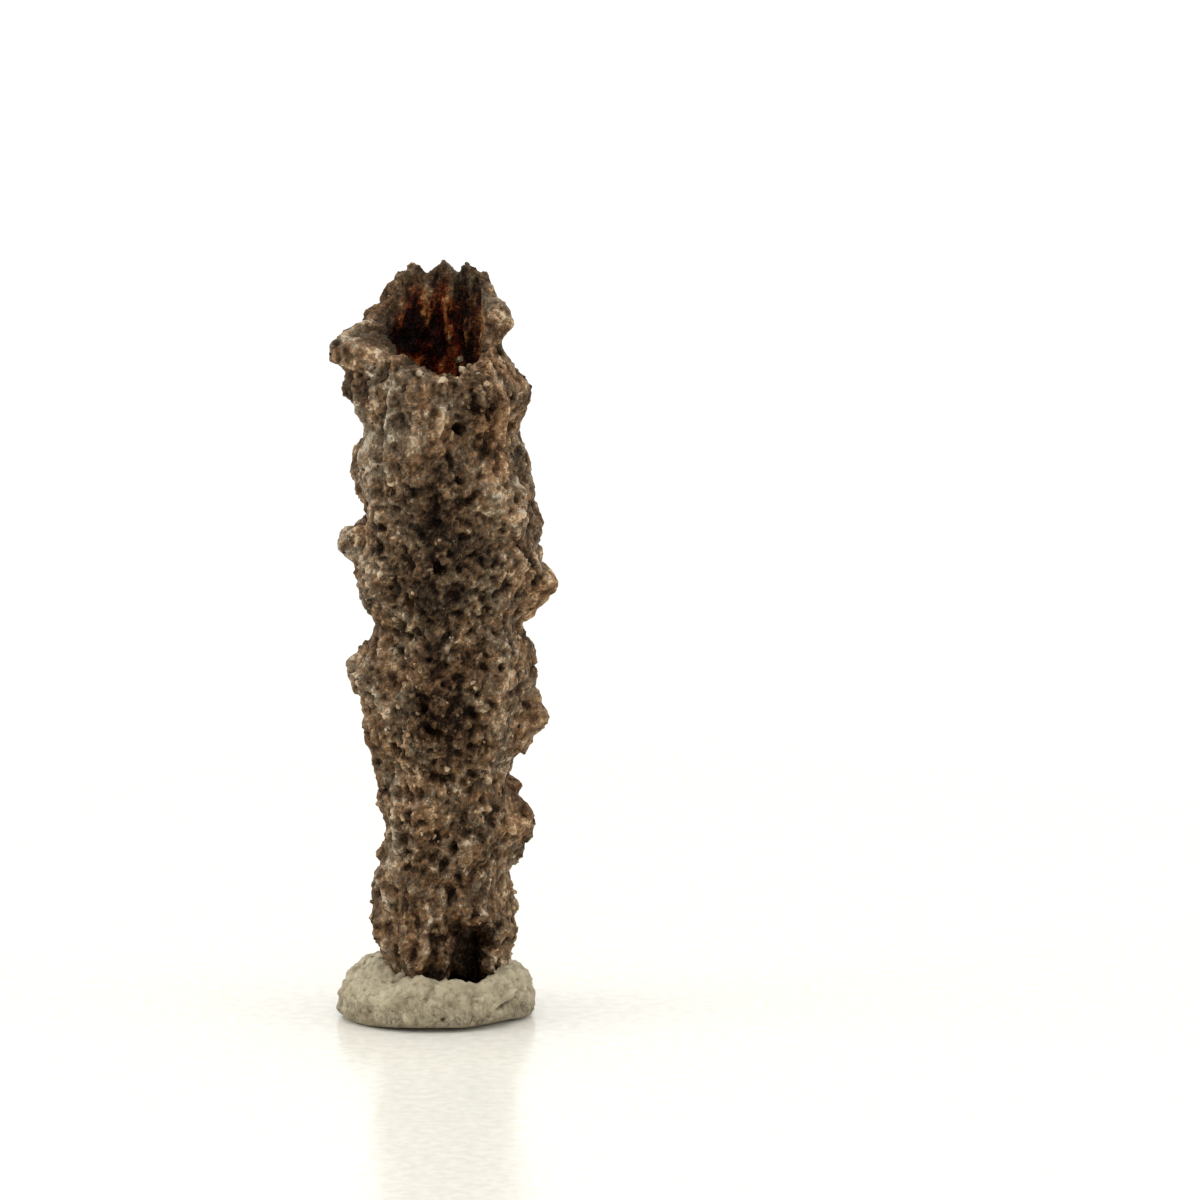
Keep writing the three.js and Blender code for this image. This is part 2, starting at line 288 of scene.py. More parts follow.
# Areas that differ from the rest: azimuth, height, half width in degrees, half height, and the
# tone, roughness and warmth added. Some tones are painted light and shade, as marked at them.
AREAS = [
    (212, 29.0, 26, 4.6, 0.12, -0.25, -0.2),
    (238, 30.2, 14, 2.4, 0.0, -0.25, -0.4),
    (262, 29.6, 16, 2.2, 0.10, -0.35, 0.2),
    (284, 31.6, 24, 0.9, -0.10, 0.0, 0.1),
    (211, 31.1, 11, 1.0, -0.34, 0.0, 0.2),
    (252, 31.1, 8, 0.8, -0.20, 0.0, 0.0),
    (302, 32.3, 16, 0.9, -0.32, 0.0, 0.0),
    (234, 29.6, 9, 0.9, 0.14, 0.0, 0.0),
    (308, 29.6, 12, 0.8, 0.14, 0.0, 0.1),
    (286, 12.1, 9, 0.9, 0.12, 0.0, 0.0),
    (250, 30.4, 56, 1.9, 0.0, -0.30, 0.0),
    # Painted shade: darker in the hole in the foot.
    (296, 4.1, 18, 1.5, -0.22, 0.0, 0.0),
    (250, 3.2, 10, 0.8, -0.20, 0.0, 0.0),
    (269, 29.7, 9, 1.0, 0.18, 0.0, 0.1),
    (286, 25.1, 10, 1.0, 0.22, 0.0, 0.0),
    (304, 22.4, 10, 0.9, -0.20, 0.0, 0.0),
    (331, 23.8, 10, 0.9, -0.14, 0.0, 0.0),
    (331, 9.4, 10, 1.0, 0.18, 0.0, 0.1),
    # Painted shade: the front middle is darker.
    (268, 18.0, 34, 17.0, -0.06, 0.0, 0.0),
    (272, 27.2, 20, 1.5, -0.10, 0.1, -0.2),
    (238, 18.9, 14, 1.2, -0.06, 0.1, -0.3),
    (262, 11.6, 20, 1.6, 0.08, 0.0, 0.2),
    (316, 29.6, 20, 3.0, 0.05, 0.0, 0.8),
    (318, 25.6, 18, 2.2, 0.11, -0.1, 0.0),
    # Painted shade: the front middle is darker in these two, which also have their own roughness
    # and warmth.
    (266, 23.0, 30, 4.2, -0.22, 0.2, -0.1),
    (262, 15.8, 34, 3.8, -0.20, 0.2, 0.0),
    (196, 21.0, 18, 2.2, 0.12, -0.1, -0.4),
    # Partly painted light: the knobs at the left side are lighter in these two.
    (182, 23.4, 16, 1.4, 0.18, -0.6, -0.1),
    (182, 17.0, 18, 1.6, 0.18, -0.6, -0.2),
    # Partly painted light: the knobs at the right side are lighter.
    (356, 21.0, 20, 1.8, 0.22, -0.5, 0.6),
    (352, 15.0, 18, 1.3, 0.04, -0.5, 0.5),
    (350, 10.6, 18, 2.0, -0.04, -0.2, 0.3),
    (185, 32.4, 20, 1.4, 0.0, -0.4, 0.3),
    (148, 34.4, 26, 2.4, -0.20, 0.0, 0.2),
    (92, 36.2, 40, 1.6, -0.16, 0.0, 0.1),
    (20, 34.6, 26, 1.6, 0.24, -0.4, 0.0),
    (240, 10.6, 30, 2.0, 0.05, 0.0, 0.2),
    (215, 5.6, 24, 2.2, 0.0, -0.5, 0.3),
    (250, 4.6, 26, 2.4, -0.08, -0.5, 0.2),
    # Painted shade, in the rows here that darken: the hole in the foot, and the foot just above the
    # putty.
    (299, 3.8, 24, 1.7, -0.46, 0.2, 0.1),
    (312, 5.6, 22, 1.6, -0.02, -0.3, 0.2),
    (290, 2.7, 40, 0.6, -0.34, 0.0, 0.1),
    (310, 3.5, 18, 1.6, -0.42, 0.2, 0.1),
    (301, 3.3, 13, 1.4, -0.40, 0.0, 0.2),
    (266, 2.3, 13, 0.6, -0.40, 0.0, 0.1),
    (90, 30.0, 40, 4.0, 0.06, -0.1, 0.2),
    (60, 20.0, 36, 4.5, -0.16, 0.1, -0.2),
    (130, 11.0, 34, 4.0, -0.12, 0.1, 0.2),
    (20, 12.0, 24, 3.5, 0.08, -0.1, -0.3),
    (140, 28.0, 24, 3.0, -0.08, 0.1, 0.0),
]
# Pale threads of glass that stand up from the wall, and creases in it that are darker as painted
# shade: azimuth and height of each bend, then the lift in millimetres and the tone added.
RIDGES = [
    ([(229, 31.4), (229, 30.4), (227, 29.4)], -0.22, -0.26),
    ([(221, 30.7), (219, 29.8), (222, 28.8)], -0.22, -0.26),
    ([(223, 28.4), (226, 27.4), (222, 26.4)], -0.18, -0.20),
    ([(243, 31.6), (241, 30.6), (243, 29.8)], -0.12, -0.16),
    ([(303, 31.6), (306, 30.6), (302, 29.8)], -0.16, -0.20),
    ([(236, 6.8), (243, 5.8), (246, 4.6), (243, 3.4)], -0.22, -0.20),
    ([(222, 5.6), (230, 4.4), (233, 3.4)], -0.20, -0.20),
    ([(262, 4.6), (263, 3.8), (260, 3.1)], -0.16, -0.20),
    ([(186, 32.7), (204, 32.3), (217, 31.85), (222, 30.8), (230, 29.5), (232, 27.6)], 0.27, 0.17),
    ([(236, 32.0), (234, 30.2), (236, 28.9), (232, 27.4), (233, 25.8)], 0.26, 0.10),
    ([(270, 31.8), (271, 30.9), (268, 29.9)], 0.20, 0.06),
    ([(299, 32.0), (313, 31.1), (321, 29.4), (320, 27.2)], 0.24, 0.06),
    ([(214, 27.0), (221, 25.2), (219, 23.4), (226, 21.8)], 0.20, 0.11),
    ([(326, 26.4), (318, 24.8), (322, 23.4), (340, 22.0)], 0.20, 0.09),
    ([(196, 23.3), (212, 22.6), (222, 21.4), (238, 20.6)], 0.17, 0.15),
    ([(240, 20.0), (246, 19.4), (258, 19.6)], 0.14, 0.20),
    ([(268, 19.2), (274, 18.6), (272, 18.0)], 0.14, 0.17),
    ([(300, 19.6), (312, 19.0), (328, 18.2)], 0.24, 0.17),
    ([(188, 17.2), (212, 16.6), (222, 16.0), (224, 14.6)], 0.24, 0.14),
    ([(232, 13.6), (244, 12.9), (256, 13.2), (270, 12.7)], 0.14, 0.12),
    ([(222, 11.4), (226, 9.8), (222, 8.4)], 0.24, 0.11),
    ([(310, 14.6), (304, 13.0), (310, 11.6)], 0.17, 0.09),
    ([(206, 7.0), (216, 6.1), (228, 4.7), (239, 3.3)], 0.42, 0.20),
    ([(253, 6.1), (260, 5.5), (256, 4.8)], 0.14, 0.46),
    ([(258, 4.4), (254, 3.8), (249, 3.3)], 0.14, 0.24),
    ([(264, 5.8), (268, 5.0), (273, 4.4), (272, 3.1)], 0.28, 0.16),
    ([(238, 7.2), (240, 5.6), (250, 4.0), (246, 2.6)], 0.28, 0.10),
    ([(284, 6.4), (290, 5.6), (304, 5.5), (314, 4.6), (312, 3.0)], 0.26, 0.08),
    ([(206, 31.0), (210, 29.2), (206, 27.6)], 0.30, 0.14),
    ([(250, 31.4), (252, 30.0), (248, 28.4)], 0.16, 0.08),
    ([(70, 35.4), (82, 33.0), (76, 30.6), (88, 28.2)], 0.24, 0.11),
    ([(120, 34.0), (128, 31.2), (118, 28.6), (124, 26.0)], 0.24, 0.11),
    ([(40, 24.6), (54, 22.2), (48, 19.8)], 0.20, 0.12),
    ([(150, 19.6), (138, 17.4), (146, 15.2), (134, 13.0)], 0.20, 0.12),
    ([(96, 16.4), (88, 14.2), (98, 11.8), (92, 9.6)], 0.20, 0.11),
    ([(30, 9.4), (44, 7.6), (40, 5.4)], 0.24, 0.12),
    ([(120, 7.4), (132, 5.6), (128, 3.8)], 0.24, 0.12),
]
THREAD_WIDTH = 0.19
# Ribs down the bore: azimuth, half width in degrees, height, and the lowest and highest level.
RIBS = [
    (86.5, 6, 0.30, 32.4, 35.9),
    (113, 7, 0.34, 33.4, 36.4),
    (60, 6, 0.20, 31.0, 35.0),
    (141, 7, 0.20, 33.0, 35.4),
    (100, 4, 0.14, 30.0, 33.0),
    (174, 6, 0.14, 20.0, 33.6),
    (24, 7, 0.16, 12.0, 34.0),
    (208, 6, 0.16, 8.0, 31.0),
    (246, 6, 0.16, 14.0, 30.0),
    (284, 7, 0.16, 6.0, 28.0),
    (322, 6, 0.18, 10.0, 31.0),
    (76, 6, 0.16, 8.0, 30.0),
    (128, 6, 0.16, 6.0, 31.5),
]
# Patches down the bore: azimuth, height, half width in degrees, half height, tone and redness.
BORE_AREAS = [
    (113, 34.9, 8, 1.6, 0.22, -0.2),
    (86.5, 34.0, 6, 2.0, 0.25, -0.1),
    (131, 33.3, 16, 1.1, -1.0, 0.0),
    (99, 33.1, 8, 1.3, -1.0, 0.0),
    (188, 32.8, 34, 1.5, -0.34, 0.0),
    (64, 35.0, 14, 1.8, -0.08, -0.5),
    (50, 34.0, 10, 2.2, 0.14, -0.6),
    (16, 34.4, 24, 1.6, 0.34, -0.3),
    (133, 32.2, 14, 0.6, 0.62, 0.5),
    (104, 31.5, 10, 0.8, 0.12, 0.5),
    (84, 31.2, 8, 0.7, 0.22, 0.4),
    (60, 33.6, 8, 1.6, -0.1, -0.3),
    (52, 32.2, 6, 0.6, -0.4, 0.0),
    (64, 32.0, 5, 0.5, 0.25, -0.2),
    (110, 3.5, 70, 3.0, 0.60, 0.4),
    # Painted shade: the bore's lower wall at the front right, seen through the hole in the foot, is
    # darker.
    (345, 3.3, 62, 2.2, -0.34, 0.3),
    (96, 32.0, 16, 0.7, 0.12, 0.5),
]


def turned(azimuth, middle):
    """Degrees from middle round to azimuth, from -180 to 180."""
    return (azimuth - middle + 180) % 360 - 180


# Where an area's tone, roughness and warmth, or redness down the bore, stand in its row.
TONE, ROUGHNESS, WARMTH, REDNESS = 4, 5, 6, 5
# The broken ends, the lumps and the finer features, in millimetres.
RIM_LIFT, RIM_JAGS, SMALL_RIM_JAGS = 0.12, 0.24, 0.08
FOOT_JAGS, SMALL_FOOT_JAGS = 0.22, 0.12
FOOT_PATTERN = 50  # the foot's jags are read this far from the rim's
SWAY_SIZE, LUMP_SWAY, THREAD_SWAY = 0.9, 0.25, 0.16
LUMP_SIZE, LUMP_LIFT, LUMP_EDGE = 1.05, 0.30, 0.30
DOME_SIZE, PIT_SIZE, PIT_SHARE = 0.34, 0.8, 0.4
SANDY_FOOT = 6.0  # below this height the bore is sandy, as it is just below the rim
RIB_FADE = 0.8
# What the finer features do: how far each lifts the wall, and the tone it adds. The darker tone of
# the hollows and pits is painted shade, and the paler tone of the domes partly painted light.
FINE_FEATURES = {
    "thread": (0.07, 0.18),
    "small_thread": (0.04, 0.12),
    "dome": (0.09, 0.24),
    "hollow": (-0.20, -0.34),
    "small_hollow": (-0.07, -0.20),
    "pit": (-0.24, -0.36),
}
BASE_TONE, BORE_TONE = 0.49, 0.22
DARKEST, PALEST_IN_BORE, DARKEST_AT_RIM = 0.08, 0.66, 0.26
# The painted highlight along the rim's lip: how much it lightens the tone, and the height of its
# band.
LIP_HIGHLIGHT, LIP_HEIGHT = 0.26, 0.10
BACK_OF_RIM = 50  # azimuth: the painted highlight lies on the lip where the rim faces away from here


def broken_ends(tree, angles):
    """The heights of the jagged foot and rim at each azimuth."""
    rim = end_heights(tree, angles, HIGH_LEVEL, 1)
    foot = end_heights(tree, angles, LOW_LEVEL, -1)
    ring = np.stack([MEAN_RADIUS * np.cos(angles), MEAN_RADIUS * np.sin(angles), 0 * angles], -1)
    rim = rim + RIM_LIFT + RIM_JAGS * noise(ring, 0.9, 3) + SMALL_RIM_JAGS * noise(ring, 0.45, 4)
    for middle, wide, lift in RIM_PEAKS:
        rim = rim + lift * np.exp(-(turned(np.degrees(angles), middle) / wide) ** 2)
    foot = foot + FOOT_JAGS * noise(ring + FOOT_PATTERN, 0.8, 5)
    return foot + SMALL_FOOT_JAGS * noise(ring, 0.35, 6), rim


class Wall:
    """The tube's wall as a grid of points, rows by columns, that closes on itself both ways.

    The rows run up the outside, over the rim, down the bore and back under the foot. starts holds
    the first row of each, then the number of rows. inner is 0 on the outside and 1 down the bore,
    and changes over the broken ends. azimuth and z are each point's place before any detail."""

    def __init__(self, tree):
        angles = np.arange(COLUMNS) * 2 * math.pi / COLUMNS
        foot, self.rim = broken_ends(tree, angles)
        outside = wall_points(tree, angles, row_heights(foot, self.rim, WALL_ROWS), cast_in)
        bore = wall_points(tree, angles, row_heights(foot, self.rim, BORE_ROWS), cast_out)[::-1]
        over_rim = between(outside[-1], bore[0], END_ROWS)
        under_foot = between(bore[-1], outside[0], END_ROWS)
        parts = [outside, over_rim, bore, under_foot]
        self.points = np.concatenate(parts)
        self.starts = np.cumsum([0] + [len(part) for part in parts])
        change = np.linspace(0.15, 0.85, END_ROWS)
        inner = [np.zeros(len(outside)), change, np.ones(len(bore)), change[::-1]]
        self.inner = np.repeat(np.concatenate(inner)[:, None], COLUMNS, axis=1)
        self.outer = 1 - self.inner
        self.azimuth = np.degrees(np.arctan2(self.points[..., 1], self.points[..., 0]))
        self.z = self.points[..., 2]
        self.near_rim = ease(self.z - self.rim + 1)
        depth = self.rim - self.z + 0.8 * noise(self.points, 0.8, 41)
        self.glassy = self.inner * ease((depth - 0.2) / 1.6) * ease((self.z - SANDY_FOOT) / 3)
        self.rough = np.clip(1 + self.areas(AREAS, ROUGHNESS), 0.35, 1.4) * (1 - 0.3 * self.glassy)
        self.marks = self.mark_sum()

    def lift(self, amount):
        """Moves every point outwards, along the wall's normals."""
        self.points = self.points + normals_of(self.points) * amount[..., None]

    def areas(self, areas, index):
        """What the areas add at each place, with wandering edges."""
        wander = 0.35 * noise(self.points, 1.3, 31)
        total = 0.0
        for area in areas:
            across = turned(self.azimuth, area[0]) / area[2]
            away = np.hypot(across, (self.z - area[1]) / area[3]) + wander
            total = total + area[index] * (1 - ease((away - 0.5) / 0.7))
        return total

    def mark_sum(self):
        """How far the marks lift each place."""
        radius = np.hypot(self.points[..., 0], self.points[..., 1])
        wander = 0.25 * noise(self.points, 0.3, 37)
        total = 0.0
        for middle, height, size, lift in MARKS:
            across = np.radians(turned(self.azimuth, middle)) * radius
            away = np.hypot(across, self.z - height) / size + wander
            total = total + lift * (1 - ease((away - 0.4) / 0.9))
        return total

    def ridge_sums(self):
        """What the ridges and creases add at each place, as lift and as tone."""
        points = self.points
        radius = np.hypot(points[..., 0], points[..., 1])
        sway = [0.16 * noise(points, 0.7, 81 + i) + 0.06 * noise(points, 0.3, 83 + i)
                for i in range(2)]
        lift, tone = np.zeros_like(self.z), np.zeros_like(self.z)
        for bends, height, pale in RIDGES:
            mine = np.zeros_like(self.z)
            for (a0, z0), (a1, z1) in zip(bends, bends[1:]):
                across = np.radians(turned(self.azimuth, a0)) * radius + sway[0]
                up = self.z - z0 + sway[1]
                way = np.array([math.radians(a1 - a0) * MEAN_RADIUS, z1 - z0])
                t = np.clip((across * way[0] + up * way[1]) / (way @ way), 0, 1)
                away = np.hypot(across - t * way[0], up - t * way[1]) / THREAD_WIDTH
                mine = np.maximum(mine, np.exp(-away ** 2))
            lift, tone = lift + height * mine, tone + pale * mine ** 3
        return lift, tone * np.clip(1.0 + 1.3 * noise(points, 0.4, 85), 0.2, 1.8)

    def rib_sum(self):
        """How far the ribs stand up from the bore."""
        bend = self.azimuth + 6 * noise(self.points, 1.6, 43) + 3 * noise(self.points, 0.6, 45)
        beads = 0.75 + 0.5 * noise(self.points, 0.55, 46)
        total = 0.0
        for middle, wide, height, low, high in RIBS:
            along = ease((self.z - low) / RIB_FADE) * ease((high - self.z) / RIB_FADE)
            total = total + height * along * beads * np.exp(-(turned(bend, middle) / wide) ** 2)
        return total


def fine_features(wall, swayed):
    """How much there is of each finer feature at each place, from 0 to 1."""
    points = wall.points
    domes, dome_pick = grains(points, DOME_SIZE, 24)
    pits, pit_pick = grains(points, PIT_SIZE, 23)
    return {
        "thread": threads(swayed, 0.62, 0.16, 21) * ease(0.7 + noise(points, 1.2, 26)),
        "small_thread": threads(swayed, 0.36, 0.2, 22),
        "dome": np.clip(1 - (domes / 0.75) ** 2, 0, 1) * dome_pick,
        "hollow": ease((-noise(swayed, 0.55, 25) - 0.12) / 0.4),
        "small_hollow": ease((-noise(points, 0.30, 27) - 0.1) / 0.4),
        "pit": ease((pit_pick - 1 + PIT_SHARE) / 0.1) * ease(1.2 - pits / (0.14 + 0.2 * pit_pick)),
    }


def tube_shape():
    """The finished wall, and its tone, warmth and glassiness at each point."""
    wall = Wall(tree_of(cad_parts["fulgurite"].data))
    points, inner, outer = wall.points, wall.inner, wall.outer
    sway = np.stack([noise(points, SWAY_SIZE, 13 + i) for i in range(3)], -1)
    drawn = points.copy()
    drawn[..., 2] = np.interp(wall.z, *DRAWN_OUT)

    # Rounded lumps, then named marks, ridges and ribs.
    lump, lump_pick = grains(drawn + LUMP_SWAY * sway, LUMP_SIZE, 16)
    lumps = LUMP_LIFT * (0.35 + 0.65 * lump_pick) * (LUMP_EDGE - lump ** 2)
    lumps = (0.16 * noise(points, 1.8, 11) + lumps) * (1 - 0.65 * inner) * (1 - 0.6 * wall.near_rim)
    ridge, ridge_tone = wall.ridge_sums()
    ribs = wall.rib_sum()
    coarse = lumps + (wall.marks + ridge) * outer + ribs * inner
    wall.lift(coarse)

    # The finer features cut into the wall, but hardly into the thin edge of the rim.
    features = fine_features(wall, drawn + THREAD_SWAY * sway)
    fine = sum(lift * features[name] for name, (lift, _) in FINE_FEATURES.items())
    wall.lift(np.maximum(fine * wall.rough, -0.04 - 0.5 * (1 - wall.near_rim)))

    points = wall.points
    # The finer features' tones are painted shade in the hollows and pits and partly painted light
    # on the domes; the noise adds blotches of the sand's own tone.
    relief_shade_and_blotches = sum(tone * features[name] for name, (_, tone) in FINE_FEATURES.items())
    relief_shade_and_blotches = relief_shade_and_blotches + 0.16 * noise(points, 1.0, 51) + 0.18 * noise(points, 2.2, 52)
    # The tone also follows the coarse shape: darker in the hollows as painted shade, a little
    # lighter on lumps and ridges as painted light.
    on_outside = (wall.areas(AREAS, TONE) + 0.30 * np.clip(coarse, -0.5, 0.2) + ridge_tone) * outer
    on_outside = BASE_TONE + on_outside + relief_shade_and_blotches * (0.7 + 0.3 * wall.rough)
    on_rib = ease(ribs / 0.12)
    in_bore = BORE_TONE + wall.areas(BORE_AREAS, TONE) + 0.6 * relief_shade_and_blotches + 0.9 * np.clip(ribs, 0, 0.3)
    # Beads on the ribs are made lighter, partly as painted light.
    in_bore = in_bore + 0.45 * features["dome"] * on_rib * inner - 0.08 * on_rib
    in_bore = np.minimum(in_bore, PALEST_IN_BORE) + 0.08 * (1 - wall.glassy)
    tone = on_outside * outer + in_bore * inner
    tone = np.maximum(tone, DARKEST_AT_RIM * wall.near_rim * (1 - wall.glassy))
    # A painted highlight along the outer lip of the rim, on the side away from the back; it also
    # makes the lip less warm.
    lip = np.exp(-((wall.z - wall.rim + 0.06) / LIP_HEIGHT) ** 2) * outer
    lip = lip * ease((np.abs(turned(wall.azimuth, BACK_OF_RIM)) - 90) / 40)
    tone = np.maximum(tone + LIP_HIGHLIGHT * lip, DARKEST)

    warmth = 0.5 + 0.5 * noise(points, 1.5, 53) + 0.4 * noise(points, 0.45, 54)
    warmth = warmth - 0.2 * lip - 1.2 * np.maximum(ridge_tone, 0)
    warmth = warmth + wall.areas(AREAS, WARMTH) * outer
    warmth = warmth + (wall.areas(BORE_AREAS, REDNESS) - 0.1) * inner
    return wall, {"tone": tone, "warmth": warmth, "glassy": wall.glassy}


def wall_mesh(name, wall, values):
    """The wall's mesh, with a map for baking: the outside and rim on its left, the bore and foot
    on its right."""
    rows, columns = wall.points.shape[:2]
    k, j = np.meshgrid(np.arange(rows), np.arange(columns), indexing="ij")
    up, side = (k + 1) % rows, (j + 1) % columns
    row, next_row = k * columns, up * columns
    faces = np.stack([row + j, row + side, next_row + side, next_row + j], -1)
    mesh = new_mesh(name, wall.points.reshape(-1, 3), faces.reshape(-1, 4), values)
    split = wall.starts[2]
    corner_k = np.stack([k, k, k + 1, k + 1], -1).reshape(-1, 4)
    corner_j = np.stack([j, j + 1, j + 1, j], -1).reshape(-1, 4)
    bore = (k.reshape(-1) >= split)[:, None]
    u = np.where(bore, 0.66 + 0.33 * corner_j / columns, 0.01 + 0.62 * corner_j / columns)
    v = np.where(bore, (corner_k - split) / (rows - split), corner_k / split) * 0.98 + 0.01
    bake_map(mesh, np.stack([u, v], -1).reshape(-1, 2))
    return mesh


def new_mesh(name, points, faces, values=None):
    """A smooth-shaded mesh from millimetres, with one number per point for each named value."""
    mesh = bpy.data.meshes.new(name)
    mesh.vertices.add(len(points))
    mesh.vertices.foreach_set("co", (points * MM).astype(np.float32).ravel())
    sides = faces.shape[1]
    mesh.loops.add(faces.size)
    mesh.loops.foreach_set("vertex_index", faces.astype(np.int32).ravel())
    mesh.polygons.add(len(faces))
    mesh.polygons.foreach_set("loop_start", np.arange(len(faces), dtype=np.int32) * sides)
    mesh.update(calc_edges=True)
    mesh.shade_smooth()
    for key, value in (values or {}).items():
        attribute = mesh.attributes.new(key, "FLOAT", "POINT")
        attribute.data.foreach_set("value", value.astype(np.float32).ravel())
    return mesh


def bake_map(mesh, corners):
    """Gives each corner of each face its place on the map for baking."""
    layer = mesh.uv_layers.new(name="OFBake")
    layer.data.foreach_set("uv", corners.astype(np.float32).ravel())


def new_piece(mesh, material):
    """An object of this mesh that is part of the one body."""
    piece = bpy.data.objects.new(mesh.name, mesh)
    bpy.context.scene.collection.objects.link(piece)
    mesh.materials.append(material)
    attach(piece, "root")
    return piece


# ---------- grains, part sunk into the wall ----------

GRAIN_SHAPES = 24
CHIPS = 9  # flats cut off each of them
GRAIN_PIECES = ["sand_grains_fine", "sand_grains_medium", "sand_grains_coarse"]
GRAINS_EACH = 2300
GRAIN_SEED = 7
GRAIN_RADIUS, SMALLEST_GRAIN, LARGEST_GRAIN = 0.155, 0.10, 0.28
TYPICAL_TONE, DARKEST_GRAIN = 0.48, 0.16
PALE_GRAINS = 0.02  # the share of grains that are pale
MAP_CELLS = 48  # grains to a row of the baking map
HALF_BALL = 0.20  # the radius of half a grain's map, in cells
QUARTZ_SUNK = 0.4  # how far towards the axis the pale grains are sunk, in radii


def ball():
    """The points and triangles of a ball of 80 facets."""
    bm = bmesh.new()
    bmesh.ops.create_icosphere(bm, subdivisions=2, radius=1)
    points = np.array([v.co[:] for v in bm.verts])
    faces = np.array([[v.index for v in f.verts] for f in bm.faces])
    bm.free()
    return points, faces


def chipped(points, rng):
    """A ball turned into a grain: squashed, with a few flats cut off it."""
    grain = points * rng.uniform((0.85, 0.7, 0.6), (1.15, 1.0, 0.9))
    for _ in range(CHIPS):
        way = rng.normal(size=3)
        way /= np.linalg.norm(way)
        over = np.maximum(grain @ way - rng.uniform(0.4, 0.75), 0)
        grain = grain - over[:, None] * way
    return grain


def rotations(count, rng):
    """Random turns, as matrices."""
    q = rng.normal(size=(count, 4))
    w, x, y, z = (q / np.linalg.norm(q, axis=1, keepdims=True)).T
    rows = [
        [1 - 2 * (y * y + z * z), 2 * (x * y - z * w), 2 * (x * z + y * w)],
        [2 * (x * y + z * w), 1 - 2 * (x * x + z * z), 2 * (y * z - x * w)],
        [2 * (x * z - y * w), 2 * (y * z + x * w), 1 - 2 * (x * x + y * y)],
    ]
    return np.moveaxis(np.array(rows), -1, 0)


def grain_mesh(name, centres, sizes, tones, warmths, rng):
    """Grains of these sizes and colours, of random shapes, as one mesh."""
    points, faces = ball()
    shapes = np.stack([chipped(points, rng) for _ in range(GRAIN_SHAPES)])
    count = len(centres)
    pick = rng.integers(GRAIN_SHAPES, size=count)
    made = np.einsum("nij,nvj->nvi", rotations(count, rng), shapes[pick])
    made = made * sizes[:, None, None] + centres[:, None]
    per = len(points)
    all_faces = (faces[None] + per * np.arange(count)[:, None, None]).reshape(-1, 3)
    values = {"tone": tones, "warmth": warmths, "glassy": np.zeros(count)}
    values = {key: np.repeat(value, per) for key, value in values.items()}
    mesh = new_mesh(name, made.reshape(-1, 3), all_faces, values)
    # Each grain has a cell of the map: one half of the ball on its left, the other on its right.
    corners = points[faces]
    upper = corners[..., 2].mean(1) > 0
    middle = np.where(upper, 0.25, 0.75)[:, None, None] * (1, 0) + (0, 0.5)
    spot = corners[..., :2] * HALF_BALL + middle
    cell = np.stack([np.arange(count) % MAP_CELLS, np.arange(count) // MAP_CELLS], -1)
    bake_map(mesh, ((spot[None] + cell[:, None, None]) / MAP_CELLS).reshape(-1, 2))
    return mesh


# Pale quartz grains set in the mouth and on the outside: azimuth, height, radius, tone, warmth.
QUARTZ_IN_MOUTH = [
    (292, 32.4, 0.27, 0.92, 0.3),
    (303, 32.4, 0.18, 0.62, 0.5),
    (66, 32.3, 0.24, 0.80, 0.2),
    (74, 32.0, 0.15, 0.62, 0.4),
    # This grain is near white to stand for a glint there: a painted highlight.
    (178, 33.2, 0.17, 0.98, 0.1),
]
QUARTZ_ON_WALL = [
    (272, 12.9, 0.22, 0.95, 0.6),
    (280, 11.8, 0.19, 0.92, 0.8),
    (290, 19.2, 0.18, 0.88, 0.6),
    (234, 15.9, 0.16, 0.86, 0.5),
    (292, 17.0, 0.16, 0.84, 0.6),
    (258, 9.5, 0.19, 0.90, 0.5),
    (263, 9.2, 0.15, 0.80, 0.8),
    (302, 14.2, 0.15, 0.86, 0.6),
    (248, 21.6, 0.14, 0.80, 0.5),
    (70, 24.0, 0.2, 0.9, 0.6),
    (118, 17.6, 0.2, 0.88, 0.5),
    (30, 29.4, 0.18, 0.88, 0.6),
    (160, 8.8, 0.18, 0.88, 0.6),
]


def quartz_mesh(wall, rng):
    """The pale grains, each set on the nearest point of the rim and bore or of the outside."""
    rows = []
    for grains_here, part in [(QUARTZ_IN_MOUTH, slice(wall.starts[1], wall.starts[3])),
                              (QUARTZ_ON_WALL, slice(0, wall.starts[1]))]:
        near = wall.points[part].reshape(-1, 3)
        azimuth = np.degrees(np.arctan2(near[:, 1], near[:, 0]))
        for middle, height, size, tone, warmth in grains_here:
            across = np.radians(turned(azimuth, middle)) * MEAN_RADIUS
            place = near[np.hypot(across, near[:, 2] - height).argmin()]
            sunk = 1 - QUARTZ_SUNK * size / np.hypot(place[0], place[1])
            rows.append([place[0] * sunk, place[1] * sunk, place[2], size, tone, warmth])
    rows = np.array(rows)
    return grain_mesh("quartz_grains", rows[:, :3], rows[:, 3], rows[:, 4], rows[:, 5], rng)


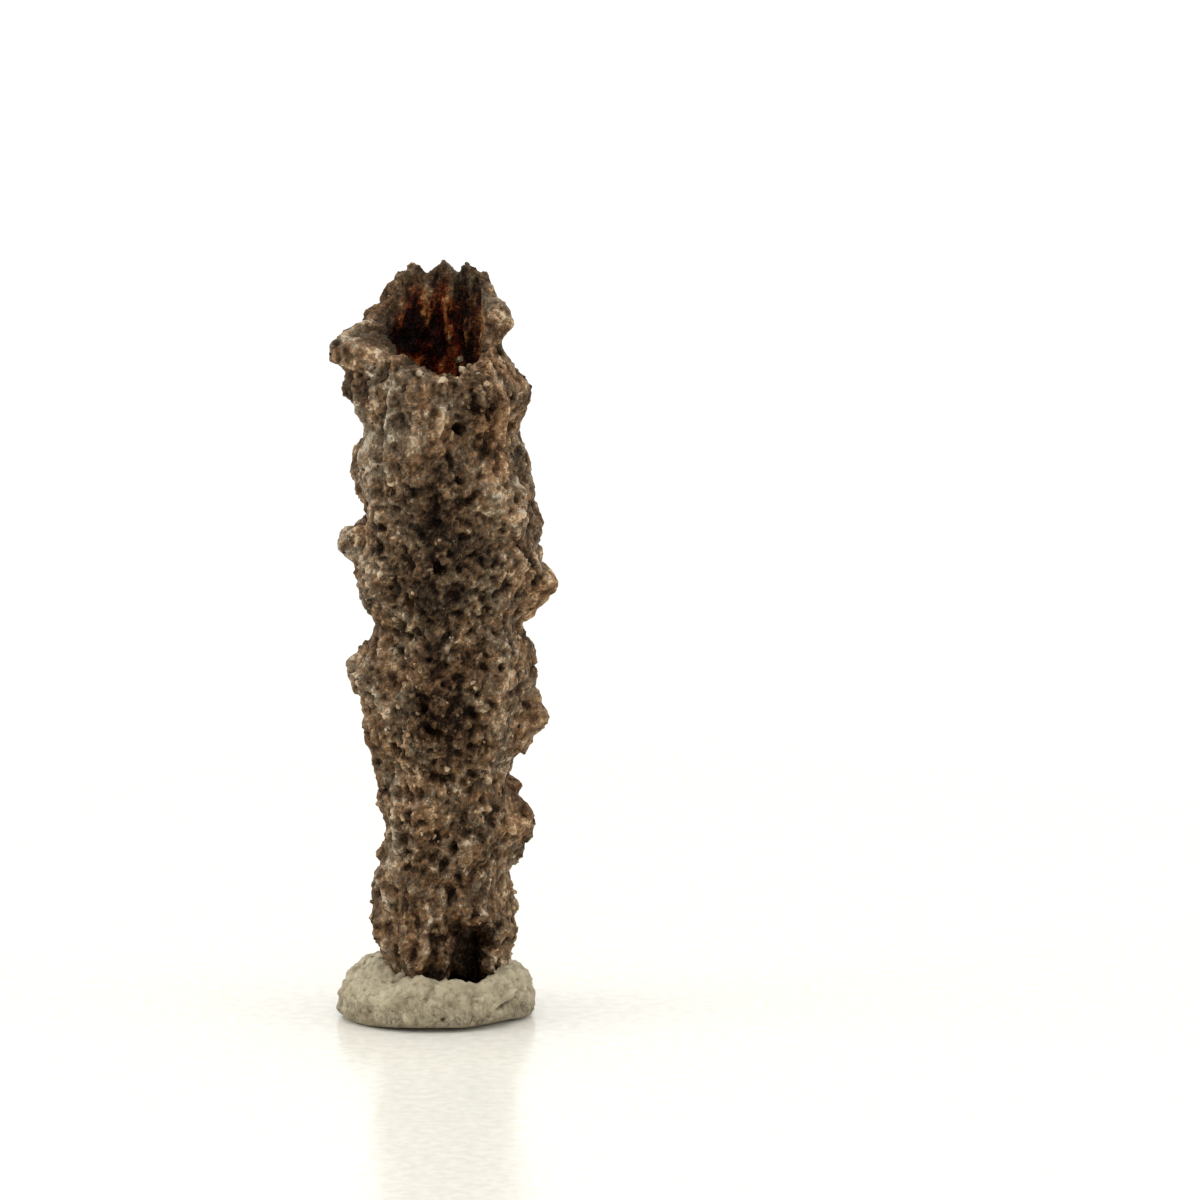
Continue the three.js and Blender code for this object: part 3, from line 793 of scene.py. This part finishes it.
def grain_places(wall, values, rng):
    """Centres, sizes, tones and warmths of grains over the outside and the rim. There are more on
    rough areas, and few in the named hollows."""
    covered = wall.starts[2] - 1
    points = wall.points[:covered]
    sides = [np.roll(wall.points, -1, axis) - wall.points for axis in (1, 0)]
    area = np.linalg.norm(np.cross(*sides), axis=-1)
    likely = np.clip(wall.rough, 0.2, 1.2) * np.where(wall.marks < -0.1, 0.05, 1)
    weight = (area * likely)[:covered] * np.clip(1.1 - 0.8 * noise(points, 1.1, 61), 0.1, 2)
    count = len(GRAIN_PIECES) * GRAINS_EACH
    chosen = rng.choice(weight.size, size=count, replace=False, p=weight.ravel() / weight.sum())
    place = points.reshape(-1, 3)[chosen]
    normal = normals_of(wall.points)[:covered].reshape(-1, 3)[chosen]
    sizes = rng.lognormal(math.log(GRAIN_RADIUS), 0.25, count)
    sizes = np.sort(np.clip(sizes, SMALLEST_GRAIN, LARGEST_GRAIN))
    sunk = rng.uniform(-1.0, -0.45, count)
    centres = place + normal * (sunk * sizes)[:, None]
    # Where the wall is dark, as in hollows with their painted shade, a grain is as dark as the wall
    # round it.
    # Elsewhere it is more its own.
    around = values["tone"][:covered].ravel()[chosen]
    own = 0.6 * ease((around - 0.05) / 0.3)
    tones = (1 - own) * around + own * TYPICAL_TONE + rng.normal(0.02, 0.16, count)
    pale = (rng.random(count) < PALE_GRAINS) & (around > 0.3)
    tones = np.where(pale, rng.uniform(0.70, 0.95, count), np.maximum(tones, DARKEST_GRAIN))
    warmths = 0.5 * values["warmth"][:covered].ravel()[chosen] + rng.uniform(0, 0.5, count)
    return centres, sizes, tones, warmths


# ---------- the putty ----------

PUTTY_VOXEL = 0.1
UNDERSIDE = 0.5  # below this height the lumps and dents fade out
HEAP_MIDDLE, HEAP_RISE = 150, 1.3
CREST_STEP, CREST_REACH = 10, 6  # degrees
LIP_DROP, LIP_WIDTH = 0.9, 0.9  # from the crest down to the tube, and across to it
UNDER_TUBE = 2.2  # nearer the axis than this, the putty is under the tube
LIP_LEVEL, LIP_PULL = 0.9, 0.9  # above this height, putty this near the tube is drawn to it
ROLLED_UNDER = [(262, 70, 0.22), (318, 36, 0.24)]  # azimuth, half width in degrees and lift
# Dents and lumps pressed into the putty: azimuth, height, half width in degrees, half height,
# how far it leans per degree, and how far it lifts the surface.
PRESSED = [
    (259, 1.9, 6, 0.35, -0.168, -0.18),
    (300, 1.6, 14, 0.5, 0.0, 0.12),
    (316, 1.10, 14, 0.22, -0.030, -0.50),
    (318, 1.50, 15, 0.20, -0.030, 0.42),
    (338, 2.2, 5, 0.3, 0.0, 0.45),
    (235, 1.5, 12, 0.6, 0.0, 0.14),
    (170, 1.9, 26, 0.16, 0.012, -0.35),
    (20, 1.3, 10, 0.6, 0.0, -0.16),
    (60, 1.4, 16, 0.5, 0.0, 0.12),
    (105, 1.5, 9, 0.7, 0.02, -0.18),
    (140, 1.2, 12, 0.5, 0.0, 0.10),
]


def remeshed(node, voxel):
    """The node's solid as an even mesh of small squares, in millimetres."""
    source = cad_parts[node].data.copy()
    source.transform(Matrix.Scale(1 / MM, 4))
    holder = bpy.data.objects.new("remesh", source)
    bpy.context.scene.collection.objects.link(holder)
    modifier = holder.modifiers.new("remesh", "REMESH")
    modifier.mode = "VOXEL"
    modifier.voxel_size = voxel
    done = holder.evaluated_get(bpy.context.evaluated_depsgraph_get()).to_mesh()
    points = np.array([v.co[:] for v in done.vertices])
    faces = np.array([p.vertices[:] for p in done.polygons])
    bpy.data.objects.remove(holder)
    bpy.data.meshes.remove(source)
    return points, faces


def mesh_normals(points, faces):
    """Outward normals of a mesh of four-sided faces."""
    corners = points[faces]
    n = np.cross(corners[:, 2] - corners[:, 0], corners[:, 3] - corners[:, 1])
    total = np.zeros_like(points)
    for corner in range(4):
        np.add.at(total, faces[:, corner], n)
    return total / np.maximum(np.linalg.norm(total, axis=1, keepdims=True), 1e-12)


def relaxed(points, faces, rounds):
    """Each point drawn to the middle of its neighbours, a few times over."""
    for _ in range(rounds):
        total, count = np.zeros_like(points), np.zeros(len(points))
        for corner in range(4):
            np.add.at(total, faces[:, corner], points[faces].mean(1))
            np.add.at(count, faces[:, corner], 1)
        points = total / count[:, None]
    return points


def pressed_lift(points, azimuth):
    """How far the dents and lumps lift each place."""
    total = 0.0
    for middle, height, wide, tall, lean, amount in PRESSED:
        across = turned(azimuth, middle)
        away = np.hypot(across / wide, (points[:, 2] - height + lean * across) / tall)
        total = total + amount * (1 - ease(away - 0.1))
    return total


def heaped(points, azimuth):
    """The heights once the putty is heaped up to the tube, at the left and the back, not dished."""
    radius, z = np.hypot(points[:, 0], points[:, 1]), points[:, 2]
    middles = np.arange(-180, 181, CREST_STEP)
    near = [np.flatnonzero(np.abs(turned(azimuth, middle)) < CREST_REACH) for middle in middles]
    tops = np.array([places[z[places].argmax()] for places in near])
    crest = np.interp(azimuth, middles, z[tops])
    inward = np.interp(azimuth, middles, radius[tops]) - radius
    heap = HEAP_RISE * (1 - ease((np.abs(turned(azimuth, HEAP_MIDDLE)) - 60) / 50))
    slope = crest + (heap - LIP_DROP) * ease((inward - 0.1) / LIP_WIDTH)
    fill = (inward > 0) & (radius > UNDER_TUBE) & (z > 0.8)
    return np.where(fill, np.maximum(z, slope), z)


def press_to(tube, points):
    """Draws the lip to the foot of the tube, and a little over its grains."""
    tree = tree_of(tube)
    for i, p in enumerate(points):
        place, _, _, away = tree.find_nearest(Vector(p), LIP_PULL)
        if place is None or p[2] < LIP_LEVEL:
            continue
        pull = 1 - ease(away / LIP_PULL)
        points[i] += (np.array(place) - p) * min(1.0, 1.5 * pull)


def putty_mesh(tube):
    """The putty's mesh, with one value at each point for its grime together with its painted shade
    and painted light.
    """
    points, faces = remeshed("putty_pad", PUTTY_VOXEL)
    floor = points[:, 2].min()
    points = relaxed(points, faces, 3)
    keep = ease((points[:, 2] - floor) / UNDERSIDE)
    azimuth = np.degrees(np.arctan2(points[:, 1], points[:, 0]))
    lift = 0.22 * noise(points, 2.2, 71) + 0.10 * noise(points, 0.9, 72)
    pressed = pressed_lift(points, azimuth)
    points = points + mesh_normals(points, faces) * ((lift + pressed) * keep)[:, None]

    # The lower edge is rolled under, most of all at the front right.
    radius = np.hypot(points[:, 0], points[:, 1])
    under = sum(rise * (1 - ease(np.abs(turned(azimuth, middle)) / wide))
                for middle, wide, rise in ROLLED_UNDER)
    points[:, 2] += under * ease((radius - 3.0) / 0.8) * (1 - ease(points[:, 2] / 1.3))
    points[:, 2] = heaped(points, azimuth)
    press_to(tube, points)
    points = relaxed(points, faces, 1)

    pits, pick = grains(points, 0.8, 73)
    pit = np.where(pick > 0.8, 1 - ease(pits / 0.16), 0)
    creases = threads(points * (1, 1, 1.6), 0.9, 0.10, 77)
    fine = 0.12 * noise(points, 0.7, 78) + 0.12 * noise(points, 0.36, 74)
    fine = fine + 0.07 * noise(points, 0.22, 75) - 0.10 * pit - 0.06 * creases
    points = points + mesh_normals(points, faces) * (fine * keep)[:, None]
    points[:, 2] = np.maximum(points[:, 2], floor)

    # Grime and painted shade: darker at dark specks in pits and in random smudges, and with painted
    # shade in creases and dents, low down towards the floor, and where the putty meets the tube,
    # which also holds dark sand; lighter on raised places and along the top, as painted light.
    radius = np.hypot(points[:, 0], points[:, 1])
    grime_and_shade = 0.9 * pit + 0.12 * creases + 0.25 * np.maximum(noise(points, 1.4, 76), 0)
    grime_and_shade = grime_and_shade + 1 - ease((radius - UNDER_TUBE) / 0.5) - 0.8 * fine - 0.9 * pressed
    grime_and_shade = grime_and_shade + 0.30 * (1 - ease(points[:, 2] / 1.4)) - 0.22 * ease((points[:, 2] - 1.7) / 0.7)
    return new_mesh("putty_blob", points, faces, {"grime_and_shade": grime_and_shade})


# ---------- materials ----------

def linear(colour):
    """An sRGB colour of 0 to 255 as the linear one that nodes take."""
    c = np.array(colour) / 255
    return (*np.where(c <= 0.04045, c / 12.92, ((c + 0.055) / 1.055) ** 2.4), 1)


class Nodes:
    """A material's nodes, added a call at a time. Each call gives back the node's output."""

    def __init__(self, name):
        self.material = bpy.data.materials.new(name)
        self.material.use_nodes = True
        self.tree = self.material.node_tree
        self.shader = self.tree.nodes["Principled BSDF"]
        self.place = self.node("ShaderNodeTexCoord", {}).outputs["Object"]

    def put(self, socket, value):
        if isinstance(value, bpy.types.NodeSocket):
            self.tree.links.new(value, socket)
        else:
            socket.default_value = value

    def node(self, kind, sockets, **settings):
        node = self.tree.nodes.new(kind)
        for key, value in settings.items():
            setattr(node, key, value)
        for key, value in sockets.items():
            self.put(node.inputs[key], value)
        return node

    def value(self, name):
        return self.node("ShaderNodeAttribute", {}, attribute_name=name).outputs["Fac"]

    def sum(self, first, factor, second):
        """first * factor + second"""
        sockets = {0: first, 1: factor, 2: second}
        return self.node("ShaderNodeMath", sockets, operation="MULTIPLY_ADD").outputs[0]

    def noise(self, size, detail=2.0, **more):
        """Noise from 0 to 1 with features of this many millimetres."""
        sockets = {"Vector": self.place, "Scale": 1 / (size * MM), "Detail": detail, **more}
        return self.node("ShaderNodeTexNoise", sockets).outputs["Fac"]

    def ramp(self, factor, stops):
        node = self.node("ShaderNodeValToRGB", {"Fac": factor})
        while len(node.color_ramp.elements) < len(stops):
            node.color_ramp.elements.new(0.5)
        for element, (position, colour) in zip(node.color_ramp.elements, stops):
            element.position = position
            element.color = linear(colour)
        return node.outputs["Color"]

    def mix(self, factor, first, second):
        node = self.node("ShaderNodeMix", {0: factor, 6: first, 7: second}, data_type="RGBA")
        return node.outputs[2]

    def bump(self, height, distance):
        sockets = {"Height": height, "Distance": distance * MM, "Strength": 1.0}
        return self.node("ShaderNodeBump", sockets).outputs["Normal"]

    def set(self, **sockets):
        for key, value in sockets.items():
            self.put(self.shader.inputs[key.replace("_", " ")], value)


# The colours that tones from 0 to 1 stand for: cool and warm sand, and the bore's brown and red.
COOL = [(0.0, (8, 3, 1)), (0.2, (32, 23, 14)), (0.4, (61, 50, 36)), (0.6, (90, 78, 62)),
        (0.8, (124, 111, 92)), (1.0, (182, 170, 150))]
WARM = [(0.0, (10, 3, 1)), (0.2, (38, 23, 12)), (0.4, (75, 53, 33)), (0.6, (108, 80, 54)),
        (0.8, (146, 114, 82)), (1.0, (200, 170, 132))]
BORE_BROWN = [(0.0, (3, 1, 0)), (0.2, (18, 6, 2)), (0.4, (52, 24, 9)), (0.6, (102, 66, 32)),
              (0.8, (150, 112, 66)), (1.0, (190, 162, 122))]
BORE_RED = [(0.0, (4, 1, 0)), (0.2, (30, 5, 2)), (0.4, (80, 20, 7)), (0.6, (130, 54, 20)),
            (0.8, (166, 98, 48)), (1.0, (190, 150, 105))]
SAND_SWAY, SAND_BEND = 0.4, 0.35  # the size of the threads' bends, and how far they go
SAND_CELLS, SAND_THREAD = 0.28, 0.16  # the threads' net, and their width in its cells
BORE_ROUGHNESS = 0.42


def sand_material(name, roughness, speckle):
    """Fused sand: a net of pale threads that comes and goes, grit and blotches, by so much."""
    nodes = Nodes(name)
    sockets = {"Vector": nodes.place, "Scale": 1 / (SAND_SWAY * MM)}
    sway = nodes.node("ShaderNodeTexNoise", sockets).outputs["Color"]
    sockets = {0: sway, 1: (SAND_BEND * MM,) * 3, 2: nodes.place}
    swayed = nodes.node("ShaderNodeVectorMath", sockets, operation="MULTIPLY_ADD").outputs["Vector"]
    sockets = {"Vector": swayed, "Scale": 1 / (SAND_CELLS * MM)}
    cells = nodes.node("ShaderNodeTexVoronoi", sockets, feature="DISTANCE_TO_EDGE")
    sockets = {0: cells.outputs["Distance"], 1: 0.0, 2: SAND_THREAD, 3: 1.0, 4: 0.0}
    thread = nodes.node("ShaderNodeMapRange", sockets, interpolation_type="SMOOTHSTEP").outputs[0]
    grit = nodes.noise(0.19, 2.5, Roughness=0.6)
    patch = nodes.noise(0.42, 2.0)
    sockets = {0: nodes.noise(0.5, 1.0), 1: 0.40, 2: 0.62, 3: 0.0, 4: 1.0}
    strength = nodes.node("ShaderNodeMapRange", sockets).outputs[0]
    wisp = nodes.node("ShaderNodeMath", {0: strength, 1: thread}, operation="MULTIPLY").outputs[0]
    tone = nodes.sum(wisp, 1.7 * speckle, nodes.value("tone"))
    tone = nodes.sum(grit, 4.8 * speckle, nodes.sum(tone, 1.0, -4.35 * speckle))
    tone = nodes.sum(patch, 4.0 * speckle, tone)
    warmth = nodes.sum(nodes.noise(0.2, 1.0), 2.4, nodes.sum(nodes.value("warmth"), 1.0, -1.2))
    outside = nodes.mix(warmth, nodes.ramp(tone, COOL), nodes.ramp(tone, WARM))
    bore = nodes.mix(warmth, nodes.ramp(tone, BORE_BROWN), nodes.ramp(tone, BORE_RED))
    glassy = nodes.value("glassy")
    varied = nodes.sum(nodes.noise(0.22), 0.3, roughness - 0.15)
    nodes.set(
        Base_Color=nodes.mix(glassy, outside, bore),
        Roughness=nodes.sum(glassy, BORE_ROUGHNESS - roughness, varied),
        Normal=nodes.bump(nodes.sum(grit, 1.0, thread), 0.035),
        IOR=1.5,
        Specular_IOR_Level=0.06,
    )
    return nodes.material


def putty_material():
    nodes = Nodes("putty")
    blotch = nodes.noise(1.0, 4.0)
    grit = nodes.noise(0.26, 4.0, Roughness=0.7, Distortion=1.2)
    colour = nodes.ramp(blotch, [(0.3, (154, 142, 115)), (0.7, (188, 176, 148))])
    # A dark brown is mixed in by the grime-and-shade value: grime, with painted shade and painted
    # light in it.
    grime_and_shade = nodes.sum(grit, 2.0, nodes.sum(nodes.value("grime_and_shade"), 1.2, -0.88))
    nodes.set(
        Base_Color=nodes.mix(grime_and_shade, colour, linear((72, 59, 42))),
        Roughness=nodes.sum(nodes.noise(0.4), 0.2, 0.5),
        Normal=nodes.bump(grit, 0.11),
        Specular_IOR_Level=0.3,
    )
    return nodes.material


MOTTLED_TO, WHITE_FROM = 60, 260  # distances over the floor


def floor_material():
    """Pale and faintly mottled near the object, and plain white further off."""
    nodes = Nodes("floor")
    far = nodes.node("ShaderNodeVectorMath", {0: nodes.place}, operation="LENGTH").outputs["Value"]
    sockets = {0: far, 1: MOTTLED_TO * MM, 2: WHITE_FROM * MM}
    near_to_far = nodes.node("ShaderNodeMapRange", sockets).outputs[0]
    mottle = nodes.ramp(nodes.noise(0.6, 3.0), [(0.35, (222, 219, 208)), (0.65, (233, 230, 220))])
    nodes.set(Base_Color=nodes.mix(near_to_far, mottle, (1, 1, 1, 1)))
    nodes.set(Roughness=0.2, IOR=1.42)
    return nodes.material


# ---------- the pieces ----------

def build_object():
    wall, values = tube_shape()
    tube = wall_mesh("fulgurite_tube", wall, values)
    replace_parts(new_piece(tube, sand_material("fused_sand", 0.5, 0.14)), "fulgurite")

    rng = np.random.default_rng(GRAIN_SEED)
    places = grain_places(wall, values, rng)
    grain = sand_material("sand_grain", 0.35, 0.08)
    for i, name in enumerate(GRAIN_PIECES):
        mine = [part[i * GRAINS_EACH:(i + 1) * GRAINS_EACH] for part in places]
        new_piece(grain_mesh(name, *mine, rng), grain)

    quartz = sand_material("quartz", 0.25, 0.10)
    new_piece(quartz_mesh(wall, rng), quartz)
    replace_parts(new_piece(putty_mesh(tube), putty_material()), "putty_pad")


# ---------- floor, light and camera ----------

MIDDLE = Vector((CAD_BOX[0][0] + CAD_BOX[1][0], 0, CAD_BOX[1][2])) / 2
AIM = MIDDLE + Vector((7.5, 0, 2.25)) * MM
DISTANCE = 400 * MM
ELEVATION = math.radians(10.2)
FRAME_WIDTH = 58.25 * MM
SENSOR = 36.0
FLOOR_SIDE = 12.0  # metres


def make_camera():
    camera = bpy.data.objects.new("camera", bpy.data.cameras.new("camera"))
    bpy.context.scene.collection.objects.link(camera)
    back = Vector((0, -math.cos(ELEVATION), math.sin(ELEVATION)))
    camera.location = AIM + back * DISTANCE
    camera.rotation_mode = "QUATERNION"
    camera.rotation_quaternion = (-back).to_track_quat("-Z", "Y")
    camera.data.sensor_width = SENSOR
    camera.data.lens = SENSOR * DISTANCE / FRAME_WIDTH
    camera.data.clip_start, camera.data.clip_end = 0.01, 20
    bpy.context.scene.camera = camera


def area_light(name, place, size, power):
    """A square lamp at this place, in millimetres, aimed at the middle of the object."""
    light = bpy.data.lights.new(name, "AREA")
    light.size, light.energy = size * MM, power
    lamp = bpy.data.objects.new(name, light)
    bpy.context.scene.collection.objects.link(lamp)
    lamp.location = Vector(place) * MM
    lamp.rotation_mode = "QUATERNION"
    towards = Vector((0, 0, CAD_BOX[1][2] / 2)) - lamp.location
    lamp.rotation_quaternion = towards.to_track_quat("-Z", "Y")


def make_studio():
    floor_mesh = bpy.data.meshes.new("floor")
    far = FLOOR_SIDE / 2
    corners = [(-far, -far, 0), (far, -far, 0), (far, far, 0), (-far, far, 0)]
    floor_mesh.from_pydata(corners, [], [(0, 1, 2, 3)])
    floor = bpy.data.objects.new("floor", floor_mesh)
    floor.location.z = CAD_BOX[0][2]
    bpy.context.scene.collection.objects.link(floor)
    floor_mesh.materials.append(floor_material())

    world = bpy.data.worlds.new("studio")
    world.use_nodes = True
    background = world.node_tree.nodes["Background"]
    background.inputs["Color"].default_value = (1, 1, 1, 1)
    background.inputs["Strength"].default_value = 1.0
    bpy.context.scene.world = world
    area_light("left", (-230, -40, 120), 160, 0.26)
    area_light("right", (230, -60, 100), 160, 0.18)
    area_light("above", (0, 0, 300), 200, 0.3)
    bpy.context.scene.view_settings.view_transform = "Standard"


build_object()
make_camera()
make_studio()
